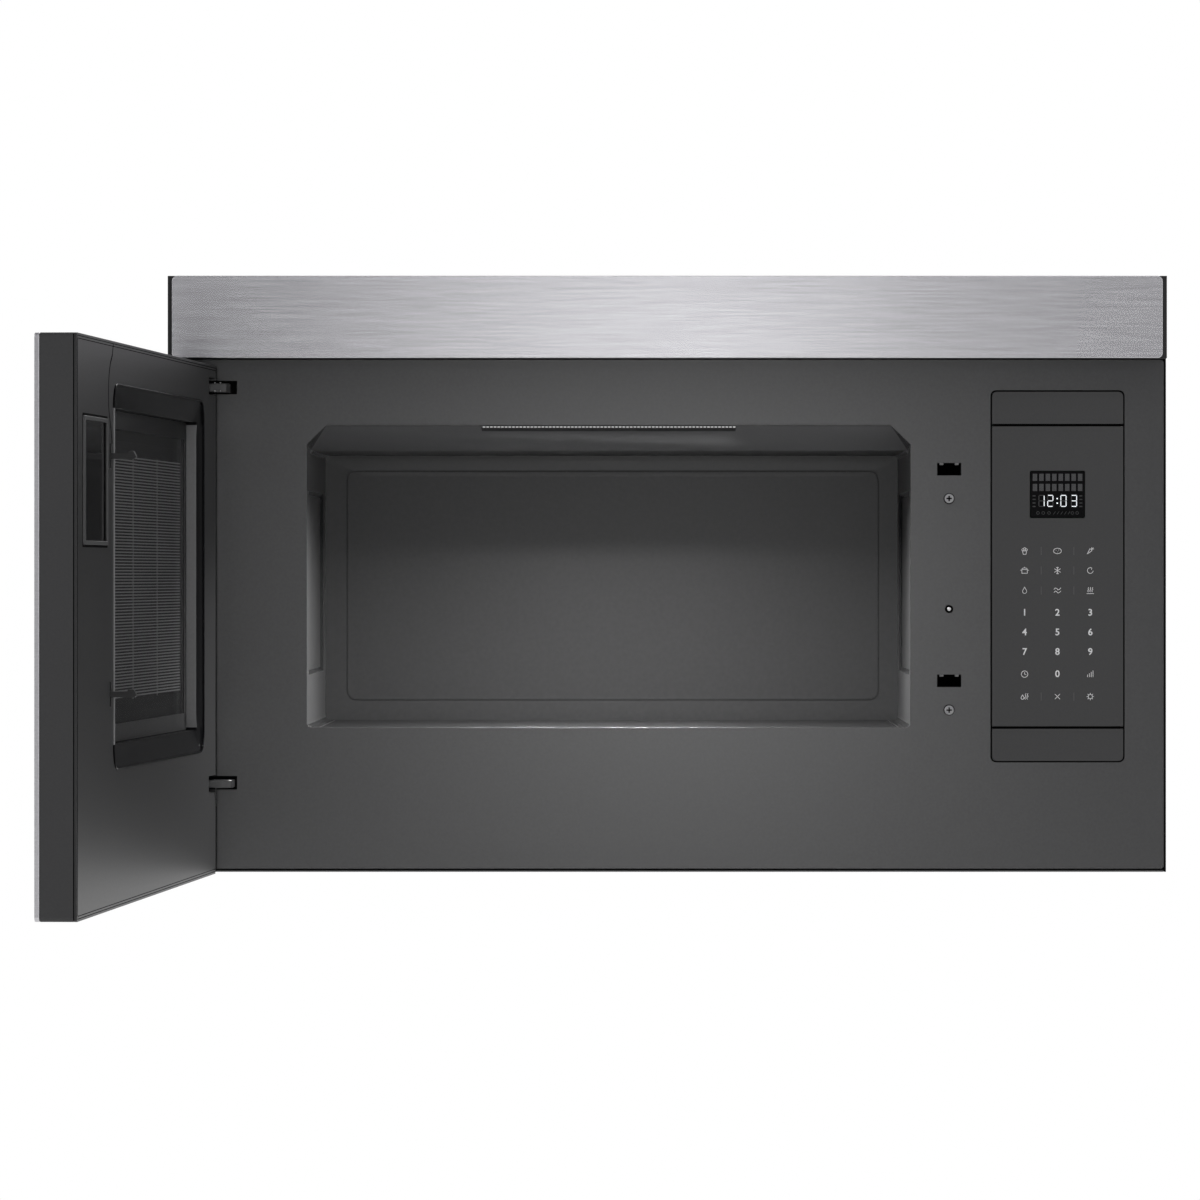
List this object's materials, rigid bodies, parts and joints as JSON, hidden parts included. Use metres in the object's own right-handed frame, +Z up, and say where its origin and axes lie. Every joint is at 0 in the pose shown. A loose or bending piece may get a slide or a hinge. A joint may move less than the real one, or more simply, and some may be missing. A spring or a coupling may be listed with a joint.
{
  "type": "over the range microwave",
  "caption": "Over the range microwave hood: case, cavity, left-hinged flush door standing open, control module, vent trim, blower and grease filters.",
  "frame": {"origin": "centre of the back face, where the case meets the wall, at half the case height", "axes": "+X to the right seen from the front, +Y from the front towards the wall, +Z up"},
  "size_m": [0.7929, 1.1278, 0.4537],
  "materials": {
    "black_sheet": "satin black paint on steel sheet",
    "zinc_sheet": "zinc coated steel sheet",
    "base_enamel": "dark grey baked paint",
    "panel_enamel": "dark grey satin paint",
    "cavity_enamel": "dark grey cavity enamel",
    "stainless": "brushed stainless steel, grain along X",
    "dark_plastic": "dark grey moulded plastic",
    "gloss_black": "gloss black moulded plastic",
    "key_panel": "dark grey key panel, fine matt",
    "display_black": "black display window",
    "smoked_glass": "black tinted glass",
    "clear_pane": "clear pane",
    "screen_black": "perforated black enamelled screen",
    "ceramic": "dark glass ceramic",
    "bright_steel": "plain steel",
    "copper_winding": "varnished copper winding on laminations",
    "circuit_board": "green circuit board",
    "white_plastic": "white moulded plastic",
    "aluminium": "mill finish aluminium",
    "charcoal": "charcoal filter cartridge",
    "lamp_lens": "frosted clear lens"
  },
  "bodies": {
    "root": {"cabinet_wrap": "black_sheet", "back_plate": "zinc_sheet", "base_plate": "base_enamel", "front_panel": "panel_enamel", "oven_cavity": "cavity_enamel", "cavity_floor_plate": "ceramic", "cavity_light_strip": "lamp_lens", "stirrer_motor": "zinc_sheet", "waveguide": "zinc_sheet", "magnetron": "bright_steel", "cooling_fan_shroud": "zinc_sheet", "cooling_fan_motor": "bright_steel", "high_voltage_transformer": "copper_winding", "high_voltage_capacitor": "aluminium", "latch_housing": "dark_plastic", "interlock_switch_upper": "dark_plastic", "interlock_switch_lower": "dark_plastic", "panel_screw_upper": "bright_steel", "panel_screw_lower": "bright_steel", "control_upper_cap": "key_panel", "control_key_panel": "key_panel", "control_lower_cap": "key_panel", "display_window": "display_black", "control_tray": "dark_plastic", "control_board": "circuit_board", "hinge_arm_upper": "black_sheet", "hinge_arm_lower": "black_sheet", "vent_trim": "stainless", "vent_grille": "dark_plastic", "blower_scroll_left": "zinc_sheet", "blower_scroll_right": "zinc_sheet", "blower_motor": "bright_steel", "outlet_duct": "zinc_sheet", "charcoal_filter": "charcoal", "roof_vent_blank": "zinc_sheet", "air_duct_left": "zinc_sheet", "air_duct_right": "zinc_sheet", "cooktop_lamp_left": "white_plastic", "cooktop_lamp_right": "white_plastic", "cooktop_lens_left": "lamp_lens", "cooktop_lens_right": "lamp_lens", "cord_gland": "dark_plastic"},
    "door": {"door_skin": "stainless", "door_glass": "smoked_glass", "door_frame": "dark_plastic", "door_inner_panel": "panel_enamel", "window_surround": "gloss_black", "window_pane": "clear_pane", "window_screen": "screen_black", "display_lens": "smoked_glass", "latch_spring": "bright_steel"},
    "door_latch": {"latch_bar": "dark_plastic"},
    "sense_plunger": {"door_sense_plunger": "white_plastic"},
    "stirrer_rotor": {"stirrer": "aluminium"},
    "fan_rotor": {"cooling_fan": "dark_plastic"},
    "blower_rotor": {"blower_shaft": "bright_steel", "blower_wheel_left": "aluminium", "blower_wheel_right": "aluminium"},
    "left_filter": {"grease_filter_left": "aluminium"},
    "right_filter": {"grease_filter_right": "aluminium"}
  },
  "joints": [
    {"name": "door_hinge", "type": "hinge", "parent": "root", "child": "door", "pos_m": [-0.361, -0.392, 0], "axis": [0, 0, 1], "range_deg": [0, 93.3]},
    {"name": "latch_slide", "type": "slide", "parent": "door", "child": "door_latch", "axis": [0, 0, -1], "range_m": [0, 0.002], "stiffness_N_per_m": 500, "springref_m": -0.003, "deforming": ["latch_spring"]},
    {"name": "plunger_slide", "type": "slide", "parent": "root", "child": "sense_plunger", "axis": [0, 1, 0], "range_m": [0, 0.003], "stiffness_N_per_m": 200, "springref_m": -0.001},
    {"name": "stirrer_turn", "type": "hinge", "parent": "root", "child": "stirrer_rotor", "pos_m": [-0.0447, -0.227, -0.13], "axis": [0, 0, 1], "continuous": true},
    {"name": "fan_turn", "type": "hinge", "parent": "root", "child": "fan_rotor", "pos_m": [0.24, -0.04, -0.075], "axis": [0, 1, 0], "continuous": true},
    {"name": "blower_turn", "type": "hinge", "parent": "root", "child": "blower_rotor", "pos_m": [-0.045, -0.118, 0.16], "axis": [1, 0, 0], "continuous": true},
    {"name": "left_filter_slide", "type": "slide", "parent": "root", "child": "left_filter", "axis": [1, 0, 0], "range_m": [0, 0.012]},
    {"name": "right_filter_slide", "type": "slide", "parent": "root", "child": "right_filter", "axis": [-1, 0, 0], "range_m": [0, 0.012]}
  ]
}
